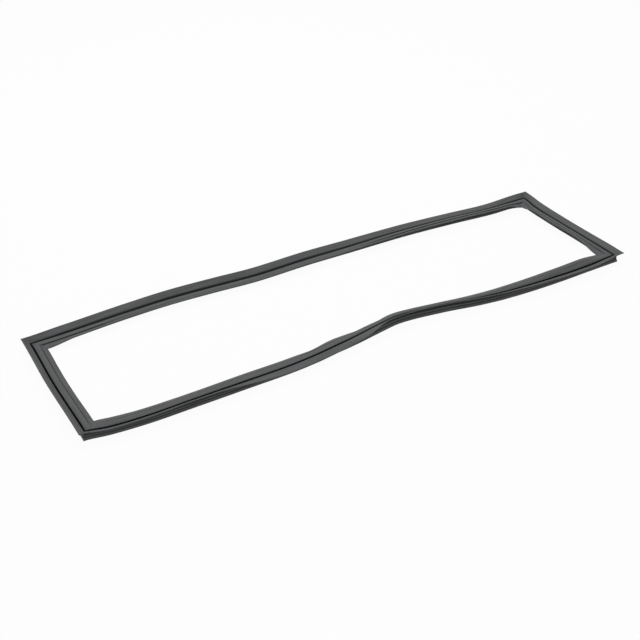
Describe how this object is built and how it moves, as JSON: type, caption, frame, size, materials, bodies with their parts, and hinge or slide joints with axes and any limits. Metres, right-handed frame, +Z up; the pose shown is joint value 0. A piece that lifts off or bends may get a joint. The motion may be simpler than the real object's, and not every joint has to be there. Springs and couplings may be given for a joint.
{
  "type": "drawer gasket",
  "caption": "Rectangular ring seal for a refrigerated drawer front, with an outer lip, a raised ridge, an inner flap and mitre-welded corners, lying loose.",
  "frame": {"origin": "middle of the ring's box, on the surface that it lies on", "axes": "+X along the long sides, +Y along the short sides towards the straighter long side, +Z up out of the sealing side"},
  "size_m": [0.8154, 0.251, 0.0184],
  "materials": {
    "gasket_vinyl": "satin"
  },
  "bodies": {
    "root": {"gasket": "gasket_vinyl"}
  },
  "joints": []
}
